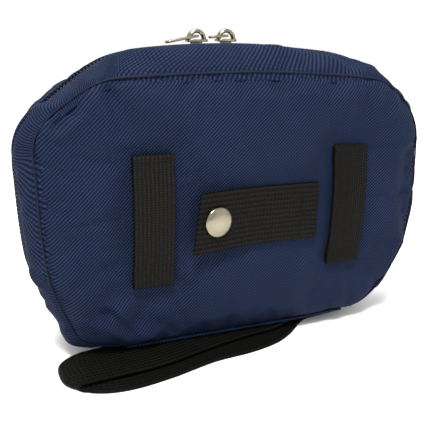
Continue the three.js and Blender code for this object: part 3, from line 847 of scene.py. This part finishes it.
def addBeltLoop(name, node, middle, material, cords, lean):
    inner = math.copysign(abs(middle) - loops["width"] / 2, middle)
    top = loops["bottom"] + loops["height"]
    half = loops["height"] / 2
    centre = loops["bottom"] + half
    bow = panelFace(inner, centre) + loops["bow"]

    def foot(z):
        return panelFace(inner, z) + layers["gap"]

    side = []  # from the turned-under edge out to the middle of the loop, as depth and height over the end
    for depth, rise in ((0.8, 8.8), (0.8, 5), (0.8, 1.8), (1.0, 0.9), (1.6, 0.75), (2.25, 0.95), (2.4, 2.0),
                        (2.35, 2.8), (2.4, 4.5), (2.4, 8.6)):
        side.append((depth, rise))
    low = [Vector((foot(loops["bottom"] + r) + d, loops["bottom"] + r)) for d, r in side]
    high = [Vector((foot(top - r) + d, top - r)) for d, r in reversed(side)]
    shoulder = [Vector((bow - 0.35, loops["bottom"] + 18)), Vector((bow, centre)), Vector((bow - 0.35, top - 18))]
    path = smoothRun(low + shoulder + high, 5)
    lengths = runLengths(path)
    count = len(path) - 1

    def place(u, v):
        i = round(u * count)
        a, b = path[max(0, i - 1)], path[min(count, i + 1)]
        along = (b - a).normalized()
        out = Vector((along.y, -along.x))
        rib = loops["rib"] * math.cos(2 * math.pi * cords * v) if cords else 0
        point = path[i] + out * rib
        x = middle + (v - 0.5) * loops["width"] + lean * (path[i].y - centre) / half
        return toRow(x, -point.x, point.y)

    mesh = cloth(count, loops["columns"], lengths, loops["width"], place, beltSide)
    piece = addPiece(name, mesh, material)
    makeWall(piece, loops["wall"], levels=0, offset=0)
    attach(piece, "rear_half")
    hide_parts(node)
    for end, z in (("low", loops["bottom"] + loops["stitchFromEnd"]), ("top", top - loops["stitchFromEnd"])):
        face = foot(z) + 3.15
        xs = [middle + loops["width"] * (t - 0.5) * 0.94 for t in (0, 0.25, 0.5, 0.75, 1)]
        points = [Vector((x + lean * (z - centre) / half, -face, z)) for x in xs]
        sewn = sewRow(name + "_stitches_" + end, points, [Vector((0, -1, 0))] * 5,
                      {"pitch": 2.6, "length": 2.3, "width": 0.7}, blackThread)
        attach(sewn, "rear_half")


print("belt loops")
addBeltLoop("belt_loop_left_webbing", "belt_loop_left", -53.55, loopWebbing, 10, 0.0)
addBeltLoop("belt_loop_right_webbing", "belt_loop_right", 53.55, fineWebbing, 14, 0.0)

# Tab: one strip of heavy webbing, sewn down at its right and standing off the panel towards its press stud

tab = {"width": 30, "wall": 1.7, "bottom": 54.3, "right": 35.95, "stitch": 24.55, "left": -33.65, "slant": 3.9,
       "bend": -0.15, "tilt": 10}
snap = {"x": -22.65, "z": 69.3, "radius": 7.5, "dome": 2.2, "shank": 1.6}
tabFoot = panelFace(0, tab["bottom"] + tab["width"] / 2) + layers["gap"]


def flapInner(x):
    t = math.tan(math.radians(tab["tilt"]))
    over = tab["bend"] - x
    return tabFoot + t * (over + math.hypot(over, 2.5)) / 2


def addTab():
    def place(u, v):
        left = tab["left"] + tab["slant"] * (v - 0.5) + 0.35 * noise.noise(Vector((v * 23, 1, 4)))
        x = mix(left, tab["right"], u)
        z = tab["bottom"] + v * tab["width"]
        z += 0.25 * noise.noise(Vector((x * 0.12, 2, round(v)))) * abs(2 * v - 1) ** 4
        return toRow(x, -(flapInner(x) + tab["wall"] / 2 + 0.05), z)

    mesh = cloth(110, 48, tab["right"] - tab["left"], tab["width"], place, beltSide)
    piece = addPiece("snap_tab_webbing", mesh, heavyWebbing)
    makeWall(piece, tab["wall"], levels=1, offset=0)
    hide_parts("snap_tab_sewn_end", "snap_tab_flap")
    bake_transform(piece)
    points = [Vector((tab["stitch"] + 2.0, -(tabFoot + tab["wall"] + 0.05), tab["bottom"] + tab["width"] * t))
              for t in (0.03, 0.3, 0.6, 0.97)]
    sewn = sewRow("snap_tab_stitches", points, [Vector((0, -1, 0))] * 4,
                  {"pitch": 3.0, "length": 2.6, "width": 0.75}, blackThread)
    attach(sewn, "rear_half")


# Turns a profile of radius and height, in millimetres, about Z
def spun(profile, steps, matrix):
    mesh = bmesh.new()
    chain = [mesh.verts.new((r, 0, h)) for r, h in profile]
    edges = [mesh.edges.new(pair) for pair in zip(chain, chain[1:])]
    bmesh.ops.spin(mesh, geom=chain + edges, cent=(0, 0, 0), axis=(0, 0, 1), angle=2 * math.pi, steps=steps,
                   use_merge=True)
    bmesh.ops.remove_doubles(mesh, verts=mesh.verts[:], dist=0.001)
    bmesh.ops.recalc_face_normals(mesh, faces=mesh.faces[:])
    bmesh.ops.transform(mesh, matrix=matrix, verts=mesh.verts[:])
    return mesh


def addSnapCap():
    out = 1.8 * math.cos(math.radians(tab["tilt"])) + layers["gap"]
    r, dome = snap["radius"], snap["dome"]
    profile = [(0, -0.15), (snap["shank"], -0.15), (snap["shank"], out - 0.1), (r - 1.2, out - 0.05),
               (r - 0.3, out - 0.1), (r, out + 0.15), (r + 0.02, out + 0.45), (r - 0.15, out + 0.75),
               (r - 0.6, out + 1.05),
               (r - 1.4, out + dome * 0.66), (r - 2.6, out + dome * 0.83), (r - 4.2, out + dome * 0.95),
               (r - 6, out + dome * 0.99), (0, out + dome)]
    seat = Matrix.Translation(toRow(snap["x"], -flapInner(snap["x"]), snap["z"]))
    seat = seat @ Matrix.Rotation(math.radians(tab["tilt"]), 4, "Z") @ Matrix.Rotation(math.pi / 2, 4, "X")
    piece = addPiece("snap_cap_pressed", spun(profile, 64, seat @ Matrix.Scale(mm, 4)), nickel)
    makeWall(piece, 0, levels=1)
    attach(piece, "snap_tab")
    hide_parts("snap_cap")


print("tab and press stud")
addTab()
addSnapCap()

# Sliders: a body of two plates joined by a post, and a bail over the top. Pulls: a tag with an eye.

slider = {"length": 10.5, "nose": 8.4, "tail": 6.4, "plate": 1.2, "lift": 0.6, "reach": 5.1, "bail": 4.0,
          "bar": 1.05, "barWidth": 1.9, "places": {"left": -22.85, "right": -7.15}, "post": 0.6}
pull = {"length": {"left": 16.3, "right": 9.2}, "width": 4.8, "thick": 1.1, "arm": 0.85,
        "droop": {"left": -9, "right": 5}}
topArc = (bag["width"] / 2) ** 2 / (2 * bag["zipCorner"][2])


def sliderSeat(x, turn):
    centre = toRow(0, 0, bag["height"] - topArc)
    seat = Matrix.Translation(centre) @ Matrix.Rotation(math.asin(x / topArc), 4, "Y")
    return seat @ Matrix.Translation((0, 0, topArc * mm)) @ Matrix.Rotation(turn, 4, "Z")


def addSlider(hand, turn):
    mesh = bmesh.new()
    for low in (slider["lift"], -slider["reach"]):
        made = bmesh.ops.create_circle(mesh, cap_ends=True, segments=40, radius=1)["verts"]
        for vertex in made:
            a, b = vertex.co.x, vertex.co.y
            half = mix(slider["tail"], slider["nose"], (a + 1) / 2) / 2
            square = 1 / max(abs(a) ** 4 + abs(b) ** 4, 1e-9) ** 0.25
            vertex.co = (a * square * slider["length"] / 2, b * square * half, low)
        flat = [f for f in mesh.faces if made[0] in f.verts]
        up = bmesh.ops.extrude_face_region(mesh, geom=flat)["geom"]
        lifted = [g for g in up if isinstance(g, bmesh.types.BMVert)]
        bmesh.ops.translate(mesh, vec=(0, 0, slider["plate"]), verts=lifted)
    post = bmesh.ops.create_cube(mesh, size=1)["verts"]
    height = slider["lift"] + slider["reach"] - slider["plate"] + 0.4
    bmesh.ops.scale(mesh, vec=(slider["length"] * 0.6, slider["post"], height), verts=post)
    bmesh.ops.translate(mesh, vec=(0, 0, slider["lift"] + 0.2 - height / 2), verts=post)
    bmesh.ops.recalc_face_normals(mesh, faces=mesh.faces[:])
    rims = [e for e in mesh.edges if e.calc_face_angle(0) > 1.0]
    bmesh.ops.bevel(mesh, geom=rims, offset=0.2, affect="EDGES", segments=3, profile=0.5, material=-1)
    bar = bmesh.ops.create_circle(mesh, segments=16, radius=1)["verts"]
    bmesh.ops.scale(mesh, vec=(slider["bar"], slider["barWidth"], 1), verts=bar)
    bmesh.ops.translate(mesh, vec=(slider["bail"], 0, slider["lift"] + slider["plate"] - 0.1), verts=bar)
    rim = [e for e in mesh.edges if e.verts[0] in bar and e.verts[1] in bar]
    bmesh.ops.spin(mesh, geom=bar + rim, cent=(0, 0, slider["lift"] + slider["plate"] - 0.1), axis=(0, -1, 0),
                   angle=math.pi, steps=28)
    open_ = [e for e in mesh.edges if e.is_boundary]
    bmesh.ops.holes_fill(mesh, edges=open_, sides=0)
    bmesh.ops.recalc_face_normals(mesh, faces=mesh.faces[:])
    bmesh.ops.transform(mesh, matrix=sliderSeat(slider["places"][hand], turn) @ Matrix.Scale(mm, 4),
                        verts=mesh.verts[:])
    piece = addPiece("slider_" + hand + "_cast", mesh, nickel)
    makeWall(piece, 0, levels=0)
    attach(piece, "slider_" + hand)
    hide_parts("slider_" + hand)


def addPull(hand, turn):
    mesh = bmesh.new()
    half = pull["width"] / 2
    made = bmesh.ops.create_circle(mesh, cap_ends=True, segments=32, radius=half)["verts"]
    for vertex in made:
        if vertex.co.x > 0:
            vertex.co.x += pull["length"][hand] - half
        else:
            vertex.co.x = max(-0.5, vertex.co.x)
    bmesh.ops.remove_doubles(mesh, verts=mesh.verts[:], dist=0.001)
    bmesh.ops.inset_individual(mesh, faces=mesh.faces[:], thickness=pull["arm"], use_even_offset=True)
    eye = [f for f in mesh.faces if len(f.verts) > 4]
    for vertex in eye[0].verts:
        vertex.co.x = min(vertex.co.x, slider["bail"] + 1.0)
    bmesh.ops.delete(mesh, geom=eye, context="FACES")
    bmesh.ops.translate(mesh, vec=(0, 0, -pull["thick"] / 2), verts=mesh.verts[:])
    up = bmesh.ops.extrude_face_region(mesh, geom=mesh.faces[:])["geom"]
    bmesh.ops.translate(mesh, vec=(0, 0, pull["thick"]), verts=[g for g in up if isinstance(g, bmesh.types.BMVert)])
    bmesh.ops.recalc_face_normals(mesh, faces=mesh.faces[:])
    rims = [e for e in mesh.edges if e.calc_face_angle(0) > 1.0]
    bmesh.ops.bevel(mesh, geom=rims, offset=0.3, affect="EDGES", segments=3, profile=0.5, material=-1)
    height = slider["lift"] + slider["plate"] + 4.6 - 1.3 - pull["thick"] * 1.6
    seat = sliderSeat(slider["places"][hand], turn) @ Matrix.Translation((0, 0, height * mm))
    seat = seat @ Matrix.Rotation(math.radians(pull["droop"][hand]), 4, "Y") @ Matrix.Rotation(math.pi - turn, 4, "Z")
    bmesh.ops.transform(mesh, matrix=seat @ Matrix.Scale(mm, 4), verts=mesh.verts[:])
    piece = addPiece("pull_" + hand + "_cast", mesh, nickel)
    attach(piece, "pull_" + hand)
    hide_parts("pull_" + hand)


print("sliders and pulls")
for hand, turn in (("left", 0), ("right", math.pi)):
    addSlider(hand, turn)
    addPull(hand, turn)

# Wrist strap: one band of heavy webbing, doubled at its far end, lying on the standing surface

strap = {"width": 30, "wall": 1.5, "root": 63.39, "fold": 1.2, "mid": 0.8, "softCorner": (7, 14), "endLength": 18,
         "reach": 2.5, "tuck": 4,
         "lower": [(35.9, -4.5), (15.8, -17), (-4.2, -24), (-29.1, -27), (-54.1, -34), (-74.2, -37), (-88.2, -33),
                   (-96.2, -29.5)],
         "upper": [(35.9, -3), (15.8, -9), (-4.2, -12), (-29.1, -18), (-54.1, -25.5), (-74.2, -28), (-88.2, -29),
                   (-96.2, -29.5)]}


def addStrap():
    stations = []
    for key, z, up in (("lower", strap["mid"], -1), ("upper", strap["mid"] + 2 * strap["fold"], 1)):
        points = smoothRun([Vector((strap["root"], 0))] + [Vector(p) for p in strap[key]], 14)
        last = len(points) - 1
        walked = []
        for i, point in enumerate(points):
            along = points[min(last, i + 1)] - points[max(0, i - 1)]
            square = max(easeIn(1 - i / 9), easeIn(1 - (last - i) / 12))
            along = along.normalized().lerp(Vector((-1, 0)), square).normalized()
            across = Vector((along.y, -along.x, 0))
            walked.append((Vector((point.x, point.y, z)), across))
        stations += walked if up < 0 else walked[::-1]
        if up < 0:
            x, y = strap["lower"][-1]
            for angle in range(20, 180, 20):
                turn = math.radians(angle)
                out = Vector((-math.sin(turn), 0, -math.cos(turn))) * strap["fold"]
                stations.append((Vector((x, y, strap["mid"] + strap["fold"])) + out, Vector((0, 1, 0))))
    lengths = runLengths([middle for middle, across in stations])
    count = len(stations) - 1

    def place(u, v):
        middle, across = stations[round(u * count)]
        x, y, z = middle + across * (v - 0.5) * strap["width"]
        atEnd = easeIn((strap["lower"][-1][0] + strap["endLength"] - middle.x) / strap["endLength"])
        nearCorner, farCorner = strap["softCorner"]
        rounding = farCorner * max(0, 2 * v - 1) ** 3 + nearCorner * max(0, 1 - 2 * v) ** 3
        y += strap["tuck"] * easeIn((x - 10) / 30)
        return toRow(x + (rounding - strap["reach"]) * atEnd, y, z)

    mesh = cloth(count, 20, lengths, strap["width"], place, lambda point: Vector((0, 0, 0)))
    piece = addPiece("wrist_strap_webbing", mesh, strapWebbing)
    makeWall(piece, strap["wall"], levels=1, offset=0)
    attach(piece, "wrist_strap")
    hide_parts("wrist_strap")


# The strap's end, caught in the seam
def addStrapTail():
    def place(u, v):
        y = mix(-13.5, 13.5, u)
        x, z = settled(strap["root"] + 0.6, y, 5.4 + 5 * v)
        return toRow(x, y, z)

    piece = addPiece("wrist_strap_tail", cloth(20, 6, 30, 6.4, place, lambda point: Vector((1, 0, 0))), strapWebbing)
    makeWall(piece, 2.4, levels=1, offset=0)
    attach(piece, "rear_half")
    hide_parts("wrist_strap_anchor")


print("wrist strap")
addStrap()
addStrapTail()

print("carried-over parts")
for node in ("snap_socket", "snap_stud", "snap_stud_rivet", "zip_stop_left", "zip_stop_right"):
    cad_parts[node].data.materials.clear()
    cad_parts[node].data.materials.append(nickel)
